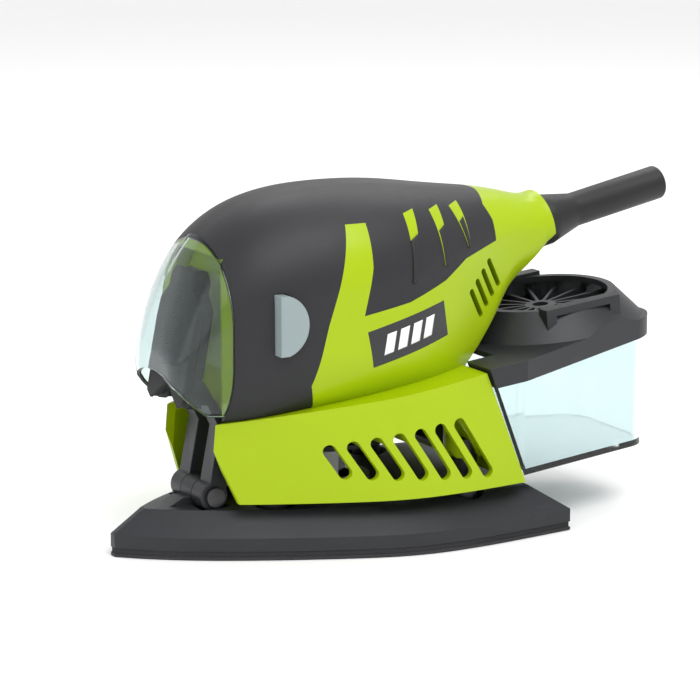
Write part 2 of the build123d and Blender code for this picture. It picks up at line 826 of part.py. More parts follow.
with BuildPart() as fan:
    with BuildSketch(Plane.XY.offset(fan_z)):
        with Locations((0, motor_y)):
            Circle(fan_r)
            Circle(shaft_r, mode=Mode.SUBTRACT)
    extrude(amount=1.4)
    with BuildSketch(Plane.XY.offset(fan_z)):
        with Locations((0, motor_y)):
            Circle(shaft_r + 4)
            Circle(shaft_r, mode=Mode.SUBTRACT)
    extrude(amount=fan_h)
    with BuildSketch(Plane.XY.offset(fan_z)):
        with Locations((0, motor_y)):
            with PolarLocations((fan_r + shaft_r + 3) / 2, fan_blades):
                Rectangle(fan_r - shaft_r - 4, 1.3)
    extrude(amount=fan_h)
keep(fan, "fan")

with BuildPart() as armature_core:
    with BuildSketch(Plane.XY.offset(field_z)):
        with Locations((0, motor_y)):
            Circle(armature_r)
            Circle(shaft_r, mode=Mode.SUBTRACT)
            with PolarLocations(armature_r - 1.0, 12):
                Rectangle(2.6, 1.4, mode=Mode.SUBTRACT)
    extrude(amount=field_h)
keep(armature_core, "armature_core")

with BuildPart() as armature_winding:
    for low, high in ((field_z - 5, field_z), (field_z + field_h, commutator_z - 0.5)):
        with BuildSketch(Plane.XY.offset(low)):
            with Locations((0, motor_y)):
                Circle(armature_r - 2)
                Circle(shaft_r, mode=Mode.SUBTRACT)
        extrude(amount=high - low)
    with BuildSketch(Plane.XY.offset(field_z)):
        with Locations((0, motor_y)):
            with PolarLocations(armature_r - 1.6, 12):
                Rectangle(1.2, 1.4)
    extrude(amount=field_h)
keep(armature_winding, "armature_winding")

with BuildPart() as commutator:
    with BuildSketch(Plane.XY.offset(commutator_z - 0.5)):
        with Locations((0, motor_y)):
            Circle(commutator_r)
            Circle(shaft_r, mode=Mode.SUBTRACT)
            with PolarLocations(commutator_r, 12):
                Rectangle(1.2, 0.5, mode=Mode.SUBTRACT)
    extrude(amount=commutator_h)
keep(commutator, "commutator")
print("rotor")

# ================= motor =================
slot_inner_r = 17.2
slot_outer_r = 21.4
slot_half = 48
post_angle = 25
post_ring_r = field_r - 2.2
post_leg_r = 1.8


def sector(inner_r, outer_r, start, sweep):
    """Annular sector about the motor axis."""
    a = radians(start)
    b = radians(start + sweep)
    CenterArc((0, motor_y), outer_r, start, sweep)
    Line((outer_r * cos(b), motor_y + outer_r * sin(b)), (inner_r * cos(b), motor_y + inner_r * sin(b)))
    CenterArc((0, motor_y), inner_r, start + sweep, -sweep)
    Line((inner_r * cos(a), motor_y + inner_r * sin(a)), (outer_r * cos(a), motor_y + outer_r * sin(a)))


with BuildPart() as field_stack:
    with BuildSketch(Plane.XY.offset(field_z)):
        with Locations((0, motor_y)):
            Circle(field_r)
            Circle(field_bore_r, mode=Mode.SUBTRACT)
        for start in (90 - slot_half, 270 - slot_half):
            with BuildLine():
                sector(slot_inner_r, slot_outer_r, start, 2 * slot_half)
            make_face(mode=Mode.SUBTRACT)
    extrude(amount=field_h)
keep(field_stack, "field_stack")

for label, start in (("field_coil_rear", 90 - slot_half), ("field_coil_front", 270 - slot_half)):
    with BuildPart() as coil:
        with BuildSketch(Plane.XY.offset(field_z - 5)):
            with BuildLine():
                sector(slot_inner_r, slot_outer_r, start, 2 * slot_half)
            make_face()
        extrude(amount=field_h + 10)
    keep(coil, label)

with BuildPart() as motor_bracket:
    with BuildSketch(Plane.XY.offset(bracket_z)):
        with Locations((0, motor_y)):
            Circle(field_r)
            Circle(shaft_r + 3, mode=Mode.SUBTRACT)
    extrude(amount=upper_bearing_z - bracket_z)
    with BuildSketch(Plane.XY.offset(upper_bearing_z)):
        with Locations((0, motor_y)):
            Circle(bearing_r + 2.5)
            Circle(bearing_r, mode=Mode.SUBTRACT)
    extrude(amount=bearing_t)
    with BuildSketch(Plane.XY.offset(field_z + field_h)):
        for angle in (post_angle, 180 - post_angle, 180 + post_angle, 360 - post_angle):
            turn = radians(angle)
            with Locations((post_ring_r * cos(turn), motor_y + post_ring_r * sin(turn))):
                Circle(post_leg_r)
    extrude(amount=bracket_z - field_z - field_h)
keep(motor_bracket, "motor_bracket")

brush_z = commutator_z + commutator_h / 2 - 0.5
for suffix, sign in (("right", 1), ("left", -1)):
    with BuildPart() as holder:
        with BuildSketch(Plane.YZ.offset(sign * (commutator_r + 4.6))):
            with Locations((motor_y, brush_z + 0.6)):
                Rectangle(8.4, bracket_z - brush_z + 0.6 + 1.7)
            with Locations((motor_y, brush_z)):
                Rectangle(5.4, 4.6, mode=Mode.SUBTRACT)
        extrude(amount=sign * 13.9)
        with BuildSketch(Plane.YZ.offset(sign * (commutator_r + 17.3))):
            with Locations((motor_y, brush_z)):
                Rectangle(5.4, 4.6)
        extrude(amount=sign * 1.2)
        with BuildSketch(Plane.XY.offset(bracket_z)):
            with Locations((0, motor_y)):
                Circle(60)
        extrude(amount=10, mode=Mode.SUBTRACT)
    keep(holder, "brush_holder_" + suffix)
    with BuildPart() as brush:
        with BuildSketch(Plane.YZ.offset(sign * (commutator_r + 2 * run_gap))):
            with Locations((motor_y, brush_z)):
                Rectangle(5.2, 4.4)
        extrude(amount=sign * (9.5 - 2 * run_gap))
    keep(brush, "brush_" + suffix)
    with BuildPart() as spring:
        for k in range(4):
            with BuildSketch(Plane.YZ.offset(sign * (commutator_r + 9.5 + 2.0 * k))):
                with Locations((motor_y, brush_z)):
                    Circle(2.0)
                    Circle(1.2, mode=Mode.SUBTRACT)
            extrude(amount=sign * 1.0)
        with BuildSketch(Plane.YZ.offset(sign * (commutator_r + 9.5))):
            with Locations((motor_y, brush_z)):
                Circle(1.9)
                Circle(1.3, mode=Mode.SUBTRACT)
        extrude(amount=sign * 7.8)
    keep(spring, "brush_spring_" + suffix)

# switch module over the bar, suppression capacitor behind the motor, clamp at the strain relief
with BuildPart() as switch_bar:
    with BuildSketch(Plane.YZ):
        with BuildLine():
            switch_outline(0.0)
        make_face()
    extrude(amount=36.2, both=True)
    with BuildSketch(Plane.YZ):
        with Locations((switch_y + switch_w / 2, switch_z)):
            Rectangle(switch_w + 2, switch_h + 2)
        with Locations((switch_y + 3.5, switch_z)):
            Rectangle(5, 7, mode=Mode.SUBTRACT)
    extrude(amount=26, both=True, mode=Mode.SUBTRACT)
    with BuildSketch(Plane.YZ):
        with Locations((switch_y + 3.5, switch_z + 4)):
            Rectangle(4, 5)
    extrude(amount=2.5, both=True)
keep(switch_bar, "switch_bar")

with BuildPart() as switch_module:
    with BuildSketch(Plane.XY.offset(switch_z + 7.2)):
        with Locations((0, switch_y + 4.2)):
            Rectangle(22, 8)
    extrude(amount=12)
    with BuildSketch(Plane.XY.offset(switch_z + 19.2)):
        with Locations((-7, switch_y + 4.2), (0, switch_y + 4.2), (7, switch_y + 4.2)):
            Rectangle(1.0, 4.0)
    extrude(amount=2)
keep(switch_module, "switch_module")

with BuildPart() as capacitor:
    with BuildSketch(Plane.XY.offset(72)):
        with Locations((0, 20)):
            RectangleRounded(17, 8, 1.5)
    extrude(amount=17)
    with BuildSketch(Plane.XY.offset(69)):
        with Locations((-4, 20), (4, 20)):
            Circle(0.5)
    extrude(amount=4)
keep(capacitor, "capacitor")

with BuildPart() as strain_relief:
    with BuildSketch(collar_axis.offset(-16.6)):
        Circle(boot_r)
    extrude(amount=19.6)
    with BuildSketch(collar_axis.offset(3)):
        Circle(boot_r)
    with BuildSketch(collar_axis.offset(15)):
        Circle(sleeve_r)
    loft()
    with BuildSketch(collar_axis.offset(15)):
        Circle(sleeve_r)
    extrude(amount=sleeve_len - 15)
    fillet(faces().sort_by(Axis.Y)[-1].edges(), 1.6)
    with BuildSketch(collar_axis.offset(-20)):
        Circle(cord_r)
    extrude(amount=80, mode=Mode.SUBTRACT)
keep(strain_relief, "strain_relief")

with BuildPart() as cord_clamp:
    with BuildSketch(collar_axis.offset(-22)):
        Circle(7.4)
        Circle(cord_r, mode=Mode.SUBTRACT)
        with Locations((0, 9)):
            Rectangle(20, 12, mode=Mode.SUBTRACT)
    extrude(amount=3)
keep(cord_clamp, "cord_clamp")

# ================= guard =================

def guard_form(inset):
    """Front end of the hull form, up to the edge of the body."""
    with BuildPart() as form:
        for index, (y, half, low, top, radius) in enumerate(hull[:6]):
            shift = inset if index == 0 else 0.0
            with BuildSketch(Plane.XZ.offset(-(y + shift))):
                with Locations((0, (low + top) / 2)):
                    RectangleRounded(2 * (half - inset), top - low - 2 * inset, radius - inset)
        loft()
        split(bisect_by=Plane.XZ.offset(-(body_front_y - guard_gap)), keep=Keep.TOP)
    return form.part


guard_outer = guard_form(0.0)
guard_inner = guard_form(guard_t)

# pull tab on top
with BuildPart() as guard_tab:
    with BuildSketch(Plane.YZ):
        with BuildLine():
            Polyline((-67, 92), (-60, 96), (-59.2, 105.2), (-62.6, 106.4), (-69, 98.6), (-67, 92))
        make_face()
    extrude(amount=6, both=True)
    add(guard_inner, mode=Mode.SUBTRACT)

with BuildPart() as guard:
    add(guard_outer)
    add(guard_inner, mode=Mode.SUBTRACT)
    # arch that lets the finger's arms and the panel's foot through
    with BuildSketch(Plane.XZ.offset(66)):
        with BuildLine():
            Polyline((-60, 30), (60, 30), (60, guard_bottom_z), (17, guard_bottom_z), (13.5, 55.5),
                     (6.0, 61.0), (-6.0, 61.0), (-13.5, 55.5), (-17, guard_bottom_z),
                     (-60, guard_bottom_z), (-60, 30))
        make_face()
    extrude(amount=20, mode=Mode.SUBTRACT)
    with BuildSketch(Plane.XZ.offset(40)):
        with Locations((0, 30)):
            Rectangle(120, 2 * (guard_bottom_z - 30))
    extrude(amount=26, mode=Mode.SUBTRACT)
    add(guard_tab.part)
keep(guard, "guard")
print("guard")

# ================= dust system =================
duct_front_y = 26.0
box_front_low = slope_plane(deck_rear_y, deck_rear_z, skirt_low_rear_y, skirt_bottom_z, box_gap)
box_front_in = slope_plane(deck_rear_y, deck_rear_z, skirt_low_rear_y, skirt_bottom_z, box_gap + box_wall)
lid_rise = tan(radians(lid_tilt))


def lid_plane(lift):
    """Tilted plane of the box rim, lifted along its normal."""
    return Plane(origin=(0, deck_rear_y, lid_z), x_dir=(1, 0, 0),
                 z_dir=(0, -sin(radians(lid_tilt)), cos(radians(lid_tilt)))).offset(lift)


def rear_wall_y(z):
    """Where the slanted rear wall of the skirt stands at a height."""
    share = (z - skirt_bottom_z) / (deck_rear_z - skirt_bottom_z)
    return skirt_low_rear_y + (deck_rear_y - skirt_low_rear_y) * share


with BuildPart() as dust_duct:
    with BuildSketch(Plane.XZ.offset(-duct_front_y)):
        with Locations((0, port_z)):
            Rectangle(port_w, port_h)
            Rectangle(port_w - 2 * duct_t, port_h - 2 * duct_t, mode=Mode.SUBTRACT)
    extrude(amount=-(rear_wall_y(port_z) + 6.5 - duct_front_y))
keep(dust_duct, "dust_duct")


def box_form(inset):
    """Tapered box with a rounded rear, narrower towards the tail."""
    front = box_front_w / 2 - inset
    rear = box_rear_w / 2 - inset
    rear_y = box_rear_y - inset
    with BuildPart() as form:
        with BuildSketch(Plane.XY.offset(box_bottom_z + inset)):
            with BuildLine():
                Polyline((-front, box_cut_y), (-front, box_taper_y), (-rear, rear_y), (rear, rear_y),
                         (front, box_taper_y), (front, box_cut_y), (-front, box_cut_y))
            make_face()
            fillet(vertices().sort_by(Axis.Y)[-2:], box_corner_r - inset)
        extrude(amount=80)
    return form.part


lid_pivot_y = box_rear_y + lid_lip + 2.8
lid_pivot_z = lid_z + lid_rise * (lid_pivot_y - deck_rear_y) + 1.0
lug_r = 2.4
lug_pin_r = 1.0

with BuildPart() as dust_bowl:
    add(box_form(0.0))
    add(half_space(box_front_low), mode=Mode.INTERSECT)
    add(half_space(lid_plane(0)), mode=Mode.SUBTRACT)
    add(box_form(box_wall) & half_space(box_front_in), mode=Mode.SUBTRACT)
    # inlet port that slips over the duct
    with BuildSketch(Plane.XZ.offset(-30)):
        with Locations((0, port_z)):
            Rectangle(port_w + 0.6, port_h + 0.6)
    extrude(amount=-25, mode=Mode.SUBTRACT)
    # outer knuckle of the lid hinge
    with BuildSketch(Plane.YZ.offset(-5)):
        with Locations((lid_pivot_y, lid_pivot_z)):
            Circle(lug_r)
        with BuildLine():
            Polyline((box_rear_y - 1, lid_pivot_z - 9), (lid_pivot_y + 1.4, lid_pivot_z - 2),
                     (lid_pivot_y, lid_pivot_z), (box_rear_y - 0.5, lid_pivot_z - 3),
                     (box_rear_y - 1, lid_pivot_z - 9))
        make_face()
        with Locations((lid_pivot_y, lid_pivot_z)):
            Circle(lug_pin_r, mode=Mode.SUBTRACT)
    extrude(amount=10)
keep(dust_bowl, "dust_bowl")

with BuildPart() as duct_seal:
    with BuildSketch(Plane.XZ.offset(-30)):
        with Locations((0, port_z)):
            Rectangle(port_w + 6, port_h + 6)
            Rectangle(port_w, port_h, mode=Mode.SUBTRACT)
    extrude(amount=-20)
    add(half_space(skirt_rear), mode=Mode.INTERSECT)
    add(half_space(box_front_low), mode=Mode.SUBTRACT)
keep(duct_seal, "duct_seal")

lid_pad_y = (lid_open_y - deck_rear_y) / cos(radians(lid_tilt))
notch_w = 57.0
notch_y = 40.0
lid_roof = 2.0
rim_top = half_space(lid_plane(lid_band))
rim_low = half_space(lid_plane(0))

with BuildPart() as dust_lid:
    add(box_form(-lid_lip))
    add(half_space(box_front_low), mode=Mode.INTERSECT)
    add(rim_low, mode=Mode.INTERSECT)
    add(rim_top, mode=Mode.SUBTRACT)
    # dome that rises from the rim to the round opening
    with BuildSketch(lid_plane(lid_band)):
        with Locations((0, lid_pad_y)):
            Circle(lid_dome_r)
    with BuildSketch(lid_plane(lid_band + lid_dome_h)):
        with Locations((0, lid_pad_y)):
            Circle(lid_open_r + 2.6)
    loft(ruled=True)
    add(box_form(-lid_lip), mode=Mode.INTERSECT)
    # hollow underside
    with BuildSketch(lid_plane(lid_band - lid_roof)):
        with Locations((0, lid_pad_y)):
            Circle(lid_dome_r - 3.0)
    with BuildSketch(lid_plane(lid_band + lid_dome_h - lid_roof)):
        with Locations((0, lid_pad_y)):
            Circle(lid_open_r + 0.6)
    loft(ruled=True, mode=Mode.SUBTRACT)
    rim_roof = half_space(lid_plane(lid_band - lid_roof))
    add(box_form(box_wall) & half_space(box_front_in) & rim_low - rim_roof, mode=Mode.SUBTRACT)
    # bay that clears the rear of the body
    with BuildSketch(Plane.XY.offset(lid_z - 10)):
        with Locations((0, notch_y / 2)):
            Rectangle(notch_w, notch_y)
    extrude(amount=60, mode=Mode.SUBTRACT)
    # round opening with radial ribs and a hub ring
    with BuildSketch(lid_plane(lid_band + lid_dome_h + 1)):
        with Locations((0, lid_pad_y)):
            Circle(lid_open_r)
    extrude(amount=-14, mode=Mode.SUBTRACT)
    with BuildSketch(lid_plane(lid_band + 3.2)):
        with Locations((0, lid_pad_y)):
            with PolarLocations((lid_open_r + 6.0) / 2 + 1.6, lid_ribs):
                Rectangle(lid_open_r - 1.4, 1.1)
            Circle(5.4)
            Circle(2.8, mode=Mode.SUBTRACT)
    extrude(amount=2.2)
    # two arched grips beside the opening
    for side_x in (-1, 1):
        with BuildSketch(lid_plane(lid_band - 1)):
            with Locations((side_x * 25.5, lid_pad_y - 13), (side_x * 25.5, lid_pad_y + 13)):
                Rectangle(5.0, 4.0)
        extrude(amount=lid_dome_h + 1.6)
        with BuildSketch(lid_plane(lid_band + lid_dome_h - 1.4)):
            with Locations((side_x * 25.5, lid_pad_y)):
                Rectangle(5.0, 30.0)
        extrude(amount=2.6)
    # lugs of the rear hinge
    for side_x in (-11.2, 5.4):
        with BuildSketch(Plane.YZ.offset(side_x)):
            with Locations((lid_pivot_y, lid_pivot_z)):
                Circle(lug_r)
            with BuildLine():
                Polyline((box_rear_y - 1, lid_pivot_z + 5), (lid_pivot_y + lug_r, lid_pivot_z),
                         (lid_pivot_y, lid_pivot_z), (box_rear_y - 1, lid_pivot_z + 0.9),
                         (box_rear_y - 1, lid_pivot_z + 5))
            make_face()
            with Locations((lid_pivot_y, lid_pivot_z)):
                Circle(lug_pin_r + run_gap, mode=Mode.SUBTRACT)
        extrude(amount=5.8)
    # relief for the bowl's knuckle
    with BuildSketch(Plane.YZ.offset(-5.3)):
        with Locations((lid_pivot_y, lid_pivot_z)):
            Circle(lug_r + 0.4)
    extrude(amount=10.6, mode=Mode.SUBTRACT)
keep(dust_lid, "dust_lid")

with BuildPart() as lid_pin:
    with BuildSketch(Plane.YZ.offset(-11.6)):
        with Locations((lid_pivot_y, lid_pivot_z)):
            Circle(lug_pin_r)
    extrude(amount=23.2)
keep(lid_pin, "lid_pin")

with BuildPart() as filter_frame:
    with BuildSketch(lid_plane(lid_band - lid_roof - 3.4)):
        with Locations((0, lid_pad_y)):
            Circle(lid_open_r + 2.2)
            Circle(lid_open_r - 2.0, mode=Mode.SUBTRACT)
    extrude(amount=3.4)
keep(filter_frame, "filter_frame")

with BuildPart() as filter_element:
    with BuildSketch(lid_plane(lid_band - lid_roof - 3.0)):
        with Locations((0, lid_pad_y)):
            Circle(lid_open_r - 2.0)
    extrude(amount=1.4)
    with BuildSketch(lid_plane(lid_band - lid_roof - 1.6)):
        with Locations((0, lid_pad_y)):
            with GridLocations(4.0, 0, 9, 1):
                Rectangle(1.4, 60)
            Circle(lid_open_r - 2.0, mode=Mode.INTERSECT)
    extrude(amount=1.4)
keep(filter_element, "filter_element")
print("dust system")

for part, label in made:
    export_step(part, "parts/" + label + ".step")
print(len(made), "pieces written")
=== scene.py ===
import json
import math
import bmesh
import bpy
import numpy as np
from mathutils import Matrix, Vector
from mathutils.bvhtree import BVHTree

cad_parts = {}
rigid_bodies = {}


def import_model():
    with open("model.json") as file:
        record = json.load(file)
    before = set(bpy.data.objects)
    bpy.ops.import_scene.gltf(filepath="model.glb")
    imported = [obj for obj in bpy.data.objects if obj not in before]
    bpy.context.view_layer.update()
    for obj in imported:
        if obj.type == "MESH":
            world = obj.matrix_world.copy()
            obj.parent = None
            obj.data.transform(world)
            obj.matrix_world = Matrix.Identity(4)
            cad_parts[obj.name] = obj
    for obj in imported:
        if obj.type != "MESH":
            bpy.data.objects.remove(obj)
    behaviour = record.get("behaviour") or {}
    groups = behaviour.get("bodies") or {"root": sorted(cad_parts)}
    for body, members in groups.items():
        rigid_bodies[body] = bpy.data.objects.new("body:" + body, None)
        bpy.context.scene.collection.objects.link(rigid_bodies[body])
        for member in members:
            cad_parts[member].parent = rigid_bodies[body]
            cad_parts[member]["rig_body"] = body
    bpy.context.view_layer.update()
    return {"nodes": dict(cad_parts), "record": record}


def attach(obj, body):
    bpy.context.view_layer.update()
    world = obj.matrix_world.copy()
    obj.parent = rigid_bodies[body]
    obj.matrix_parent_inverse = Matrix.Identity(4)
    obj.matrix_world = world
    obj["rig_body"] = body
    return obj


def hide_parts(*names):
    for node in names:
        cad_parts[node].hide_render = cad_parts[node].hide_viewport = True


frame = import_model()
nodes = frame["nodes"]
mm = 0.001
print("frame loaded")


viewSet = {"azimuth": 60.74, "elevation": 12.0, "distance": 1.06429, "lens": 160.6,
           "target": (-0.00005, 0.0, 0.06023)}
# each lamp: azimuth, elevation, distance, width and height in metres, power in watts
lampSet = {"keyLight": (95, 58, 1.1, (0.9, 0.6), 7.5),
           "fillLight": (10, 20, 1.2, (0.8, 0.9), 1.5),
           "rimLight": (230, 50, 1.2, (0.9, 0.4), 3.5)}
roomSet = {"worldGrey": 1.0, "worldStrength": 0.92, "floorGrey": 0.93, "aimHeight": 0.06}


def direction(azimuth, elevation):
    # unit vector from the target to a viewer at that azimuth and elevation
    a, e = math.radians(azimuth), math.radians(elevation)
    return Vector((math.sin(a) * math.cos(e), -math.cos(a) * math.cos(e), math.sin(e)))


def addCamera():
    data = bpy.data.cameras.new("viewCamera")
    data.lens = viewSet["lens"]
    data.sensor_width = 36.0
    data.clip_start = 0.01
    camera = bpy.data.objects.new("viewCamera", data)
    away = direction(viewSet["azimuth"], viewSet["elevation"])
    camera.location = Vector(viewSet["target"]) + away * viewSet["distance"]
    camera.rotation_euler = away.to_track_quat("Z", "Y").to_euler()
    bpy.context.scene.collection.objects.link(camera)
    bpy.context.scene.camera = camera


def addAreaLight(name, azimuth, elevation, distance, size, watts):
    data = bpy.data.lights.new(name, "AREA")
    data.shape = "RECTANGLE"
    data.size, data.size_y = size
    data.energy = watts
    light = bpy.data.objects.new(name, data)
    away = direction(azimuth, elevation)
    light.location = Vector((0, 0, roomSet["aimHeight"])) + away * distance
    light.rotation_euler = away.to_track_quat("Z", "Y").to_euler()
    bpy.context.scene.collection.objects.link(light)


def addStudio():
    for name, placing in lampSet.items():
        addAreaLight(name, *placing)
    world = bpy.data.worlds.new("paleWorld")
    world.use_nodes = True
    background = world.node_tree.nodes["Background"]
    grey = roomSet["worldGrey"]
    background.inputs["Color"].default_value = (grey, grey, grey, 1)
    background.inputs["Strength"].default_value = roomSet["worldStrength"]
    bpy.context.scene.world = world


addCamera()
addStudio()
bpy.context.scene.view_settings.view_transform = "Standard"
print("camera and light")


def newGroup(name, inputs, outputs):
    group = bpy.data.node_groups.new(name, "ShaderNodeTree")
    for socketName, kind, value in inputs:
        socket = group.interface.new_socket(name=socketName, in_out="INPUT", socket_type=kind)
        socket.default_value = value
    for socketName, kind in outputs:
        group.interface.new_socket(name=socketName, in_out="OUTPUT", socket_type=kind)
    return group, group.nodes.new("NodeGroupInput"), group.nodes.new("NodeGroupOutput")


def makeGrainGroup():
    # fine moulded grain: two sizes of noise added into one height
    group, source, sink = newGroup(
        "mouldedGrain",
        [("Scale", "NodeSocketFloat", 900.0), ("Coarse", "NodeSocketFloat", 0.25)],
        [("Height", "NodeSocketFloat"), ("Tone", "NodeSocketFloat")])
    n, link = group.nodes, group.links.new
    coord = n.new("ShaderNodeTexCoord")
    fine = n.new("ShaderNodeTexNoise")
    fine.inputs["Detail"].default_value = 3.0
    broad = n.new("ShaderNodeTexNoise")
    broad.inputs["Scale"].default_value = 28.0
    broad.inputs["Detail"].default_value = 4.0
    weight = n.new("ShaderNodeMath")
    weight.operation = "MULTIPLY"
    total = n.new("ShaderNodeMath")
    total.operation = "ADD"
    link(coord.outputs["Object"], fine.inputs["Vector"])
    link(coord.outputs["Object"], broad.inputs["Vector"])
    link(source.outputs["Scale"], fine.inputs["Scale"])
    link(broad.outputs["Fac"], weight.inputs[0])
    link(source.outputs["Coarse"], weight.inputs[1])
    link(fine.outputs["Fac"], total.inputs[0])
    link(weight.outputs["Value"], total.inputs[1])
    link(total.outputs["Value"], sink.inputs["Height"])
    link(broad.outputs["Fac"], sink.inputs["Tone"])
    return group


def makeWearGroup():
    # rub marks: thin stretched scratches and soft patches, as a mask from 0 to 1
    group, source, sink = newGroup(
        "rubMarks",
        [("Amount", "NodeSocketFloat", 0.3), ("Stretch", "NodeSocketFloat", 9.0)],
        [("Mask", "NodeSocketFloat"), ("Patch", "NodeSocketFloat")])
    n, link = group.nodes, group.links.new
    coord = n.new("ShaderNodeTexCoord")
    stretch = n.new("ShaderNodeMapping")
    stretch.inputs["Scale"].default_value = (1.0, 0.12, 1.0)
    scratch = n.new("ShaderNodeTexNoise")
    scratch.inputs["Detail"].default_value = 2.0
    scratch.inputs["Scale"].default_value = 420.0
    cut = n.new("ShaderNodeMapRange")
    cut.inputs["From Min"].default_value = 0.66
    cut.inputs["From Max"].default_value = 0.74
    patch = n.new("ShaderNodeTexNoise")
    patch.inputs["Scale"].default_value = 16.0
    patch.inputs["Detail"].default_value = 5.0
    patchCut = n.new("ShaderNodeMapRange")
    patchCut.inputs["From Min"].default_value = 0.42
    patchCut.inputs["From Max"].default_value = 0.72
    scaled = n.new("ShaderNodeMath")
    scaled.operation = "MULTIPLY"
    broken = n.new("ShaderNodeMath")
    broken.operation = "MULTIPLY"
    link(coord.outputs["Object"], stretch.inputs["Vector"])
    link(stretch.outputs["Vector"], scratch.inputs["Vector"])
    link(coord.outputs["Object"], patch.inputs["Vector"])
    link(scratch.outputs["Fac"], cut.inputs["Value"])
    link(patch.outputs["Fac"], patchCut.inputs["Value"])
    link(cut.outputs["Result"], broken.inputs[0])
    link(patchCut.outputs["Result"], broken.inputs[1])
    link(broken.outputs["Value"], scaled.inputs[0])
    link(source.outputs["Amount"], scaled.inputs[1])
    link(scaled.outputs["Value"], sink.inputs["Mask"])
    link(patchCut.outputs["Result"], sink.inputs["Patch"])
    return group


grainGroup = makeGrainGroup()
wearGroup = makeWearGroup()

finishes = {
    "limePlastic": {"color": (0.350, 0.480, 0.001),
                    "alt": (0.315, 0.440, 0.001), "rough": 0.33, "grain": 1500.0,
                    "bump": 0.035, "wear": 0.08, "coat": 0.05, "specular": 0.25},
    "softGrip": {"color": (0.011, 0.011, 0.013), "alt": (0.016, 0.016, 0.019), "rough": 0.52, "grain": 2400.0,
                 "bump": 0.12, "wear": 0.10, "coat": 0.0},
    "darkPlastic": {"color": (0.014, 0.015, 0.018),
                    "alt": (0.020, 0.021, 0.025), "rough": 0.42, "grain": 1800.0,
                    "bump": 0.08, "wear": 0.16, "coat": 0.0},
    "padPlastic": {"color": (0.013, 0.014, 0.017),
                   "alt": (0.020, 0.021, 0.025), "rough": 0.46, "grain": 1500.0,
                   "bump": 0.10, "wear": 0.22, "coat": 0.0},
    "badgePlastic": {"color": (0.007, 0.007, 0.009),
                     "alt": (0.010, 0.010, 0.013), "rough": 0.28, "grain": 900.0,
                     "bump": 0.02, "wear": 0.10, "coat": 0.3},
    "whiteInk": {"color": (0.83, 0.84, 0.84), "alt": (0.76, 0.77, 0.77), "rough": 0.35, "grain": 1200.0,
                 "bump": 0.02, "wear": 0.05, "coat": 0.1},
    "paleButton": {"color": (0.270, 0.325, 0.330),
                   "alt": (0.240, 0.295, 0.300), "rough": 0.36, "grain": 1600.0,
                   "bump": 0.04, "wear": 0.15, "coat": 0.0},
    "blackRubber": {"color": (0.007, 0.007, 0.008),
                    "alt": (0.012, 0.012, 0.013), "rough": 0.50, "grain": 1300.0,
                    "bump": 0.10, "wear": 0.12, "coat": 0.0},
    "foamCell": {"color": (0.016, 0.016, 0.018), "alt": (0.034, 0.034, 0.037), "rough": 0.85, "grain": 3200.0,
                 "bump": 0.55, "wear": 0.05, "coat": 0.0},
    "hookPile": {"color": (0.022, 0.022, 0.024), "alt": (0.040, 0.040, 0.043), "rough": 0.80, "grain": 2600.0,
                 "bump": 0.70, "wear": 0.05, "coat": 0.0},
    "filterCloth": {"color": (0.62, 0.60, 0.53), "alt": (0.50, 0.48, 0.42), "rough": 0.88, "grain": 2800.0,
                    "bump": 0.50, "wear": 0.05, "coat": 0.0},
    "carbonBlock": {"color": (0.018, 0.018, 0.019), "alt": (0.03, 0.03, 0.03), "rough": 0.6, "grain": 2200.0,
                    "bump": 0.2, "wear": 0.3, "coat": 0.0},
}
metals = {
    "groundSteel": {"color": (0.55, 0.55, 0.56), "rough": 0.28, "lines": 900.0},
    "castAlloy": {"color": (0.52, 0.53, 0.54), "rough": 0.48, "lines": 300.0},
    "blackenedSteel": {"color": (0.10, 0.10, 0.105), "rough": 0.42, "lines": 700.0},
    "stackSteel": {"color": (0.20, 0.20, 0.21), "rough": 0.50, "lines": 1500.0},
    "woundCopper": {"color": (0.60, 0.24, 0.10), "rough": 0.32, "lines": 1400.0},
    "satinBrass": {"color": (0.62, 0.44, 0.16), "rough": 0.34, "lines": 700.0},
}


def startMaterial(name):
    material = bpy.data.materials.new(name)
    material.use_nodes = True
    return material, material.node_tree.nodes, material.node_tree.links.new


def mouldedMaterial(name, look):
    # two close tones by broad noise, scratches lighten it, grain goes to bump, rub patches set the roughness
    material, n, link = startMaterial(name)
    shader = n["Principled BSDF"]
    grain = n.new("ShaderNodeGroup")
    grain.node_tree = grainGroup
    grain.inputs["Scale"].default_value = look["grain"]
    wear = n.new("ShaderNodeGroup")
    wear.node_tree = wearGroup
    wear.inputs["Amount"].default_value = look["wear"]
    tone = n.new("ShaderNodeMix")
    tone.data_type = "RGBA"
    tone.inputs["A"].default_value = (*look["color"], 1)
    tone.inputs["B"].default_value = (*look["alt"], 1)
    worn = n.new("ShaderNodeMix")
    worn.data_type = "RGBA"
    worn.inputs["B"].default_value = (*[min(1.0, c * 1.6 + 0.05) for c in look["color"]], 1)
    rough = n.new("ShaderNodeMapRange")
    rough.inputs["To Min"].default_value = look["rough"] - 0.05
    rough.inputs["To Max"].default_value = look["rough"] + 0.09
    bump = n.new("ShaderNodeBump")
    bump.inputs["Strength"].default_value = look["bump"]
    bump.inputs["Distance"].default_value = 0.0004
    link(grain.outputs["Tone"], tone.inputs["Factor"])
    link(tone.outputs["Result"], worn.inputs["A"])
    link(wear.outputs["Mask"], worn.inputs["Factor"])
    link(worn.outputs["Result"], shader.inputs["Base Color"])
    link(wear.outputs["Patch"], rough.inputs["Value"])
    link(rough.outputs["Result"], shader.inputs["Roughness"])
    link(grain.outputs["Height"], bump.inputs["Height"])
    link(bump.outputs["Normal"], shader.inputs["Normal"])
    shader.inputs["Specular IOR Level"].default_value = look.get("specular", 0.4)
    shader.inputs["Coat Weight"].default_value = look["coat"]
    shader.inputs["Coat Roughness"].default_value = 0.15
    return material


